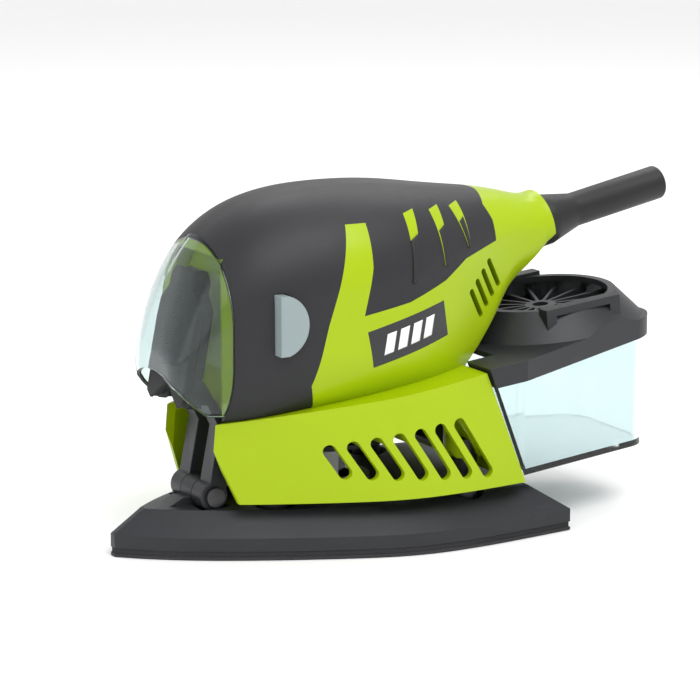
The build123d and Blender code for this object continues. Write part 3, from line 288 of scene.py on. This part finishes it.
def metalMaterial(name, look):
    # fine turned lines: noise squeezed along Z, in roughness and bump; rub patches darken the tone
    material, n, link = startMaterial(name)
    shader = n["Principled BSDF"]
    shader.inputs["Metallic"].default_value = 1.0
    coord = n.new("ShaderNodeTexCoord")
    squeeze = n.new("ShaderNodeMapping")
    squeeze.inputs["Scale"].default_value = (0.1, 0.1, 1.0)
    lines = n.new("ShaderNodeTexNoise")
    lines.inputs["Scale"].default_value = look["lines"]
    wear = n.new("ShaderNodeGroup")
    wear.node_tree = wearGroup
    wear.inputs["Amount"].default_value = 0.3
    rough = n.new("ShaderNodeMapRange")
    rough.inputs["To Min"].default_value = look["rough"] - 0.08
    rough.inputs["To Max"].default_value = look["rough"] + 0.12
    tone = n.new("ShaderNodeMix")
    tone.data_type = "RGBA"
    tone.inputs["A"].default_value = (*look["color"], 1)
    tone.inputs["B"].default_value = (*[c * 0.72 for c in look["color"]], 1)
    bump = n.new("ShaderNodeBump")
    bump.inputs["Strength"].default_value = 0.12
    bump.inputs["Distance"].default_value = 0.0002
    link(coord.outputs["Object"], squeeze.inputs["Vector"])
    link(squeeze.outputs["Vector"], lines.inputs["Vector"])
    link(lines.outputs["Fac"], rough.inputs["Value"])
    link(rough.outputs["Result"], shader.inputs["Roughness"])
    link(wear.outputs["Patch"], tone.inputs["Factor"])
    link(tone.outputs["Result"], shader.inputs["Base Color"])
    link(lines.outputs["Fac"], bump.inputs["Height"])
    link(bump.outputs["Normal"], shader.inputs["Normal"])
    return material


clearSet = {"color": (0.80, 0.885, 0.89), "alt": (0.72, 0.83, 0.84), "rough": 0.04, "ior": 1.38}


def clearMaterial(name, look):
    # tinted clear plastic with faint flow marks and hairline scratches
    material, n, link = startMaterial(name)
    shader = n["Principled BSDF"]
    shader.inputs["Transmission Weight"].default_value = 1.0
    shader.inputs["IOR"].default_value = look["ior"]
    grain = n.new("ShaderNodeGroup")
    grain.node_tree = grainGroup
    grain.inputs["Scale"].default_value = 60.0
    wear = n.new("ShaderNodeGroup")
    wear.node_tree = wearGroup
    wear.inputs["Amount"].default_value = 0.5
    tone = n.new("ShaderNodeMix")
    tone.data_type = "RGBA"
    tone.inputs["A"].default_value = (*look["color"], 1)
    tone.inputs["B"].default_value = (*look["alt"], 1)
    rough = n.new("ShaderNodeMapRange")
    rough.inputs["To Min"].default_value = look["rough"]
    rough.inputs["To Max"].default_value = look["rough"] + 0.16
    bump = n.new("ShaderNodeBump")
    bump.inputs["Strength"].default_value = 0.06
    bump.inputs["Distance"].default_value = 0.0006
    link(grain.outputs["Tone"], tone.inputs["Factor"])
    link(tone.outputs["Result"], shader.inputs["Base Color"])
    link(wear.outputs["Mask"], rough.inputs["Value"])
    link(rough.outputs["Result"], shader.inputs["Roughness"])
    link(grain.outputs["Height"], bump.inputs["Height"])
    link(bump.outputs["Normal"], shader.inputs["Normal"])
    return material


materials = {name: mouldedMaterial(name, look) for name, look in finishes.items()}
materials.update({name: metalMaterial(name, look) for name, look in metals.items()})
materials["clearTint"] = clearMaterial("clearTint", clearSet)
print("materials", len(materials))

slotFinish = {
    "bright_shell": "limePlastic", "soft_grip": "softGrip", "badge": "badgePlastic", "steel": "groundSteel",
    "rubber": "blackRubber", "bracket_alloy": "castAlloy", "core_steel": "stackSteel", "copper": "woundCopper",
    "dark_plastic": "darkPlastic", "brass": "satinBrass", "carbon": "carbonBlock", "foam": "foamCell",
    "hook_fabric": "hookPile", "clear_tint": "clearTint", "pale_plastic": "paleButton",
    "filter_cloth": "filterCloth"}
nodeSlot = {entry["node"]: entry["material_slot"] for entry in frame["record"]["subparts"]}
for nodeName, nodeObject in nodes.items():
    nodeObject.data.materials.clear()
    nodeObject.data.materials.append(materials[slotFinish[nodeSlot[nodeName]]])
nodes["base_plate"].data.materials[0] = materials["padPlastic"]
nodes["hinge_pin"].data.materials[0] = materials["blackenedSteel"]


edgeSet = {"sharpDegrees": 28.0, "bevelSegments": 2}


def mergedCopy(nodeName, bevelWidth, materialName=None):
    # the CAD piece with its loose triangles joined, sharp edges marked and lightly rounded
    source = nodes[nodeName]
    mesh = source.data.copy()
    mesh.name = nodeName + "Finished"
    work = bmesh.new()
    work.from_mesh(mesh)
    bmesh.ops.remove_doubles(work, verts=work.verts, dist=0.002 * mm)
    bmesh.ops.dissolve_degenerate(work, edges=work.edges, dist=0.001 * mm)
    work.to_mesh(mesh)
    work.free()
    mesh.shade_smooth()
    mesh.set_sharp_from_angle(angle=math.radians(edgeSet["sharpDegrees"]))
    piece = bpy.data.objects.new(nodeName + "_finished", mesh)
    bpy.context.scene.collection.objects.link(piece)
    if materialName:
        mesh.materials.clear()
        mesh.materials.append(materials[materialName])
    if bevelWidth > 0:
        bevel = piece.modifiers.new("brokenEdge", "BEVEL")
        bevel.width = bevelWidth
        bevel.segments = edgeSet["bevelSegments"]
        bevel.limit_method = "ANGLE"
        bevel.angle_limit = math.radians(38)
        bevel.use_clamp_overlap = True
        bevel.harden_normals = False
    weighted = piece.modifiers.new("faceWeight", "WEIGHTED_NORMAL")
    weighted.keep_sharp = True
    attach(piece, source["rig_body"])
    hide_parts(nodeName)
    return piece


finishedNodes = {
    "base_plate": 0.30, "foam_pad": 0.0, "hook_face": 0.0, "housing_right": 0.25, "housing_left": 0.25,
    "grip_cover": 0.30, "badge_right": 0.15, "badge_left": 0.15, "base_shell": 0.28, "switch_bar": 0.35,
    "strain_relief": 0.0, "dust_bowl": 0.30, "dust_lid": 0.30, "finger_arm": 0.25,
    "finger_foam": 0.0, "finger_hook_face": 0.0, "duct_seal": 0.0, "filter_element": 0.0, "filter_frame": 0.15,
    "cord_clamp": 0.15, "lid_pin": 0.0, "hinge_pin": 0.15}
finished = {name: mergedCopy(name, width * mm) for name, width in finishedNodes.items()}
print("finished shells", len(finished))


trimSet = {"badgeBars": {"starts": (0.14, 0.31, 0.48, 0.65), "barWidth": 0.115, "low": 0.24, "high": 0.76,
                         "slant": 0.08, "lift": 0.12 * mm, "thickness": 0.30 * mm},
           "badgeCorners": ((-13.2, 74.1), (18.5, 81.1), (20.6, 69.0), (-10.6, 61.7))}


def treeOf(objectName):
    # search tree of one CAD piece, for laying trim on it
    mesh = nodes[objectName].data
    points = np.empty(len(mesh.vertices) * 3)
    mesh.vertices.foreach_get("co", points)
    triangles = [tuple(p.vertices) for p in mesh.polygons]
    return BVHTree.FromPolygons(points.reshape(-1, 3).tolist(), triangles)


def layAlongX(tree, y, z, side):
    # X of the outermost point of the shell on the line through (y, z) along X
    hit = tree.ray_cast(Vector((side * 0.2, y, z)), Vector((-side, 0, 0)))[0]
    return np.nan if hit is None else hit.x


def laidPatch(name, tree, side, corners, columns, rows, lift, thickness, materialName, body):
    # P(u, v): Y and Z blend linearly between four corners, X is where the shell lies plus the lift
    u = np.linspace(0, 1, columns)[:, None]
    v = np.linspace(0, 1, rows)[None, :]
    a, b, c, d = (np.array(corner) * mm for corner in corners)
    y = (1 - u) * (1 - v) * a[0] + u * (1 - v) * b[0] + u * v * c[0] + (1 - u) * v * d[0]
    z = (1 - u) * (1 - v) * a[1] + u * (1 - v) * b[1] + u * v * c[1] + (1 - u) * v * d[1]
    x = np.array([[layAlongX(tree, y[i, j], z[i, j], side) for j in range(rows)] for i in range(columns)])
    x = np.where(np.isnan(x), np.nanmean(x), x) + side * lift
    mesh = bpy.data.meshes.new(name)
    index = np.arange(columns * rows).reshape(columns, rows)
    quads = np.stack([index[:-1, :-1], index[1:, :-1], index[1:, 1:], index[:-1, 1:]], -1).reshape(-1, 4)
    points = np.stack([x, y, z], -1).reshape(-1, 3)
    mesh.from_pydata(points.tolist(), [], quads.tolist())
    if mesh.polygons[0].normal.x * side < 0:
        mesh.flip_normals()
    mesh.shade_smooth()
    mesh.materials.append(materials[materialName])
    piece = bpy.data.objects.new(name, mesh)
    bpy.context.scene.collection.objects.link(piece)
    solid = piece.modifiers.new("thickness", "SOLIDIFY")
    solid.thickness = thickness
    solid.offset = -1.0
    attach(piece, body)
    return piece


def onBadge(u, v):
    # point of the badge's outline in the side view, from its four corners
    a, b, c, d = (np.array(corner) for corner in trimSet["badgeCorners"])
    point = (1 - u) * (1 - v) * a + u * (1 - v) * b + u * v * c + (1 - u) * v * d
    return tuple(point)


def addBadgeBars():
    bars = trimSet["badgeBars"]
    for side, nodeName in ((1, "badge_right"), (-1, "badge_left")):
        tree = treeOf(nodeName)
        for k, start in enumerate(bars["starts"]):
            end = start + bars["barWidth"]
            corners = (onBadge(start + bars["slant"], bars["low"]), onBadge(end + bars["slant"], bars["low"]),
                       onBadge(end, bars["high"]), onBadge(start, bars["high"]))
            laidPatch(nodeName + "_bar_" + str(k + 1), tree, side, corners, 8, 14, bars["lift"],
                      bars["thickness"], "whiteInk", "root")


addBadgeBars()
print("badge bars")


grooveSet = {"grooves": (("1", 8.6, 5.2, 88.5), ("2", 20.2, 19.9, 92.5), ("3", 30.2, 32.2, 97.0)),
             "topZ": 111.0, "topHalf": 2.4, "lowHalf": 0.6, "covered": 0.66, "lift": 0.45 * mm,
             "thickness": 0.35 * mm}


def addGrooveScoops():
    # the lower part of each tapered groove is lined with the soft grip, its top stays bright
    g = grooveSet
    for side, nodeName, letter in ((1, "housing_right", "right"), (-1, "housing_left", "left")):
        tree = treeOf(nodeName)
        for number, topY, lowY, lowZ in g["grooves"]:
            share = g["covered"]
            midY = lowY + (topY - lowY) * share
            half = g["lowHalf"] + (g["topHalf"] - g["lowHalf"]) * share
            midZ = lowZ + (g["topZ"] - lowZ) * share
            corners = ((lowY - g["lowHalf"], lowZ), (lowY + g["lowHalf"], lowZ),
                       (midY + half, midZ + half * 0.5), (midY - half, midZ - half * 0.5))
            laidPatch("groove_lining_" + letter + "_" + number, tree, side, corners, 6, 18, g["lift"],
                      g["thickness"], "softGrip", "root")


addGrooveScoops()
print("groove linings")


screwSet = {"around": 40, "threadPitch": 1.1 * mm, "threadDepth": 0.28 * mm, "domeShare": 0.35,
            "recessArm": 0.62, "recessHalf": 0.16, "recessDepth": 0.55}


def islandPoints(nodeName):
    # vertex arrays of the separate solids of one CAD piece
    work = bmesh.new()
    work.from_mesh(nodes[nodeName].data)
    bmesh.ops.remove_doubles(work, verts=work.verts, dist=0.002 * mm)
    seen, islands = set(), []
    for start in work.verts:
        if start in seen:
            continue
        queue, members = [start], []
        seen.add(start)
        while queue:
            vert = queue.pop()
            members.append(tuple(vert.co))
            for edge in vert.link_edges:
                other = edge.other_vert(vert)
                if other not in seen:
                    seen.add(other)
                    queue.append(other)
        islands.append(np.array(members))
    work.free()
    return islands


def screwSurface(points, axis, headEnd):
    # a head with a cross recess and a threaded shank, on a grid of profile step and angle:
    # the shank's radius drops by the thread depth times a saw tooth of (length / pitch + angle / turn)
    low, high = points.min(0), points.max(0)
    others = [k for k in range(3) if k != axis]
    center = (low + high) / 2
    headR = (high[others[0]] - low[others[0]]) / 2
    spread = np.hypot(points[:, others[0]] - center[others[0]], points[:, others[1]] - center[others[1]])
    headRows = points[spread > headR * 0.9][:, axis]
    headT = headRows.max() - headRows.min()
    shankR = spread[spread < headR * 0.9].max()
    length = high[axis] - low[axis]
    turn = np.linspace(0, 2 * np.pi, screwSet["around"], endpoint=False)[None, :]
    shankSteps = int((length - headT) / screwSet["threadPitch"] * 6)
    headProfile = np.array([(r, 0.0) for r in np.linspace(0.02, 0.8, 12)] +
                           [(0.8 + 0.2 * math.sin(a), 1 - math.cos(a)) for a in np.linspace(0.3, math.pi / 2, 5)])
    along = headProfile[:, 1:2] * headT * screwSet["domeShare"] + 0 * turn
    radius = headProfile[:, 0:1] * headR + 0 * turn
    x, y = radius * np.cos(turn), radius * np.sin(turn)
    arm, half = screwSet["recessArm"] * headR, screwSet["recessHalf"] * headR
    inCross = ((np.abs(x) < arm) & (np.abs(y) < half)) | ((np.abs(y) < arm) & (np.abs(x) < half))
    along = along + inCross * headT * screwSet["recessDepth"]
    shankAlong = np.linspace(headT, length, shankSteps)[:, None] + 0 * turn
    saw = np.abs(np.mod(shankAlong / screwSet["threadPitch"] + turn / (2 * np.pi), 1.0) - 0.5) * 2
    shankRadius = shankR - screwSet["threadDepth"] * saw
    along = np.concatenate([along, np.full_like(turn, headT), shankAlong, np.full_like(turn, length)])
    radius = np.concatenate([radius, np.full_like(turn, headR), shankRadius, np.full_like(turn, 0.02 * shankR)])
    points = np.zeros(along.shape + (3,))
    sign = 1.0 if headEnd == "low" else -1.0
    origin = low[axis] if headEnd == "low" else high[axis]
    points[..., axis] = origin + sign * along
    points[..., others[0]] = center[others[0]] + radius * np.cos(turn)
    points[..., others[1]] = center[others[1]] + radius * np.sin(turn)
    return points


def addScrews(nodeName, axis, headEnd, body):
    # every solid of a screw node, drawn as one closed tube grid with small end discs
    allPoints, allFaces, offset = [], [], 0
    for island in islandPoints(nodeName):
        grid = screwSurface(island, axis, headEnd)
        rows, around = grid.shape[:2]
        index = np.arange(rows * around).reshape(rows, around) + offset
        ahead = np.roll(index, -1, 1)
        quads = np.stack([index[:-1], ahead[:-1], ahead[1:], index[1:]], -1).reshape(-1, 4)
        allPoints.append(grid.reshape(-1, 3))
        allFaces += quads.tolist() + [index[0].tolist(), index[-1].tolist()]
        offset += rows * around
    mesh = bpy.data.meshes.new(nodeName + "Turned")
    mesh.from_pydata(np.concatenate(allPoints).tolist(), [], allFaces)
    work = bmesh.new()
    work.from_mesh(mesh)
    bmesh.ops.recalc_face_normals(work, faces=work.faces)
    work.to_mesh(mesh)
    work.free()
    mesh.shade_smooth()
    mesh.set_sharp_from_angle(angle=math.radians(35))
    mesh.materials.append(materials["groundSteel"])
    piece = bpy.data.objects.new(nodeName + "_turned", mesh)
    bpy.context.scene.collection.objects.link(piece)
    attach(piece, body)
    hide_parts(nodeName)


addScrews("housing_screws", 0, "low", "root")
addScrews("plate_screws", 2, "high", "root")
print("screws")


guardSet = {"stations": ((-75.0, 9.0, 54.0, 67.0, 6.4), (-72.0, 17.6, 48.5, 79.5, 14.8),
                         (-66.5, 22.5, 43.0, 92.5, 21.0), (-60.0, 26.8, 40.0, 102.4, 25.5),
                         (-50.0, 30.7, 38.0, 110.7, 28.5)),
            "noseY": -75.0, "rearY": -58.6, "wall": 1.5, "inset": 0.05, "capZ": 61.4,
            "archTop": 61.5, "archHalf": 17.0, "foot": 47.5, "rows": 44, "columns": 48, "capRows": 8,
            "tabHalf": 6.5, "tabRise": 1.1, "tabFront": -67.5}


def stationAt(y):
    # half width, bottom, top and corner radius at Y: a cubic in the root of the distance from the nose
    table = np.array(guardSet["stations"])
    root = np.sqrt(table[:, 0] - guardSet["noseY"])
    here = math.sqrt(max(0.0, y - guardSet["noseY"]))
    return [float(np.polyval(np.polyfit(root, table[:, k], 4), here)) for k in range(1, 5)]


def archHeight(x):
    # the lower edge of the guard in the front view: an arch in the middle, level feet beside it
    share = np.clip(np.abs(x) / guardSet["archHalf"], 0, 1)
    rise = guardSet["archTop"] - guardSet["foot"]
    return guardSet["foot"] + rise * np.sqrt(np.clip(1 - share ** 2.6, 0, 1))


def guardSection(y, scale, columns):
    # the rounded cross-section at Y from the arch on one side, over the top, to the other side
    half, low, top, radius = stationAt(y)
    radius = min(radius, half - 0.05, (top - low) / 2 - 0.05)
    turn = np.linspace(0, np.pi / 2, 60)
    lowArc = np.stack([half - radius + radius * np.sin(turn), low + radius - radius * np.cos(turn)], -1)
    highArc = np.stack([half - radius + radius * np.cos(turn), top - radius + radius * np.sin(turn)], -1)
    outline = np.concatenate([[[0.0, low]], lowArc, highArc, [[0.0, top]]])
    outline = outline * scale
    outline[:, 1] += guardSet["capZ"] * (1 - scale)
    step = np.concatenate([[0], np.cumsum(np.hypot(*np.diff(outline, axis=0).T))])
    dense = np.linspace(0, step[-1], 900)
    x, z = np.interp(dense, step, outline[:, 0]), np.interp(dense, step, outline[:, 1])
    under = np.nonzero(z < archHeight(x))[0]
    first = under[-1] + 1 if len(under) and under[-1] < len(dense) - 2 else (0 if not len(under) else len(dense) - 2)
    along = np.linspace(dense[first], dense[-1], columns)
    right = np.stack([np.interp(along, dense, x), np.interp(along, dense, z)], -1)
    left = right[::-1][1:] * np.array([-1.0, 1.0])
    return np.concatenate([right, left])


def addGuard():
    # P(s, t): s runs from the body to the nose and in over its flat tip, t over the section
    g = guardSet
    share = np.linspace(1, 0, g["rows"])
    rows = []
    for k in share:
        y = g["noseY"] + (g["rearY"] - g["noseY"]) * k * k
        section = guardSection(y, 1.0, g["columns"])
        rows.append(np.column_stack([section[:, 0], np.full(len(section), y), section[:, 1]]))
    for scale in np.linspace(1, 0.02, g["capRows"] + 1)[1:]:
        section = guardSection(g["noseY"], scale, g["columns"])
        rows.append(np.column_stack([section[:, 0], np.full(len(section), g["noseY"]), section[:, 1]]))
    grid = np.stack(rows)
    # a low tongue on top to pull it by
    lift = np.clip(1 - (np.abs(grid[..., 0]) / g["tabHalf"]) ** 4, 0, 1)
    lift = lift * np.clip((grid[..., 1] - g["tabFront"]) / 5.0, 0, 1) * (grid[..., 2] > 85)
    grid[..., 2] += lift * g["tabRise"]
    grid[..., 1] += g["inset"]
    count, across = grid.shape[:2]
    index = np.arange(count * across).reshape(count, across)
    quads = np.stack([index[:-1, :-1], index[:-1, 1:], index[1:, 1:], index[1:, :-1]], -1).reshape(-1, 4)
    mesh = bpy.data.meshes.new("guardShell")
    mesh.from_pydata((grid.reshape(-1, 3) * mm).tolist(), [], quads.tolist())
    middle = mesh.polygons[across // 2]
    if middle.normal.z < 0:
        mesh.flip_normals()
    mesh.shade_smooth()
    mesh.materials.append(materials["clearTint"])
    piece = bpy.data.objects.new("guard_shell", mesh)
    bpy.context.scene.collection.objects.link(piece)
    solid = piece.modifiers.new("wall", "SOLIDIFY")
    solid.thickness = g["wall"] * mm
    solid.offset = -1.0
    solid.use_even_offset = True
    bevel = piece.modifiers.new("rim", "BEVEL")
    bevel.width = 0.4 * mm
    bevel.segments = 2
    bevel.limit_method = "ANGLE"
    bevel.angle_limit = math.radians(60)
    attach(piece, "guard")
    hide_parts("guard")


addGuard()
print("guard")


floorSet = {"half": 3.0, "steps": 61, "riseStart": 1.7, "rise": 0.5, "drop": -0.0002}


def addFloor():
    # one wide sheet just under the pad; past the start radius its height grows with the square of the distance
    f = floorSet
    line = np.linspace(-f["half"], f["half"], f["steps"])
    across, along = np.meshgrid(line, line, indexing="ij")
    beyond = np.clip(np.hypot(across, along) - f["riseStart"], 0, None)
    height = f["drop"] + f["rise"] * beyond ** 2
    points = np.stack([across, along, height], -1).reshape(-1, 3)
    index = np.arange(f["steps"] ** 2).reshape(f["steps"], f["steps"])
    faces = np.stack([index[:-1, :-1], index[1:, :-1], index[1:, 1:], index[:-1, 1:]], -1).reshape(-1, 4)
    mesh = bpy.data.meshes.new("paleFloor")
    mesh.from_pydata(points.tolist(), [], faces.tolist())
    floor = bpy.data.objects.new("paleFloor", mesh)
    bpy.context.scene.collection.objects.link(floor)
    material, n, link = startMaterial("paleFloorPaint")
    grey = roomSet["floorGrey"]
    n["Principled BSDF"].inputs["Base Color"].default_value = (grey, grey, grey, 1)
    n["Principled BSDF"].inputs["Roughness"].default_value = 0.9
    mesh.materials.append(material)


addFloor()
print("floor")
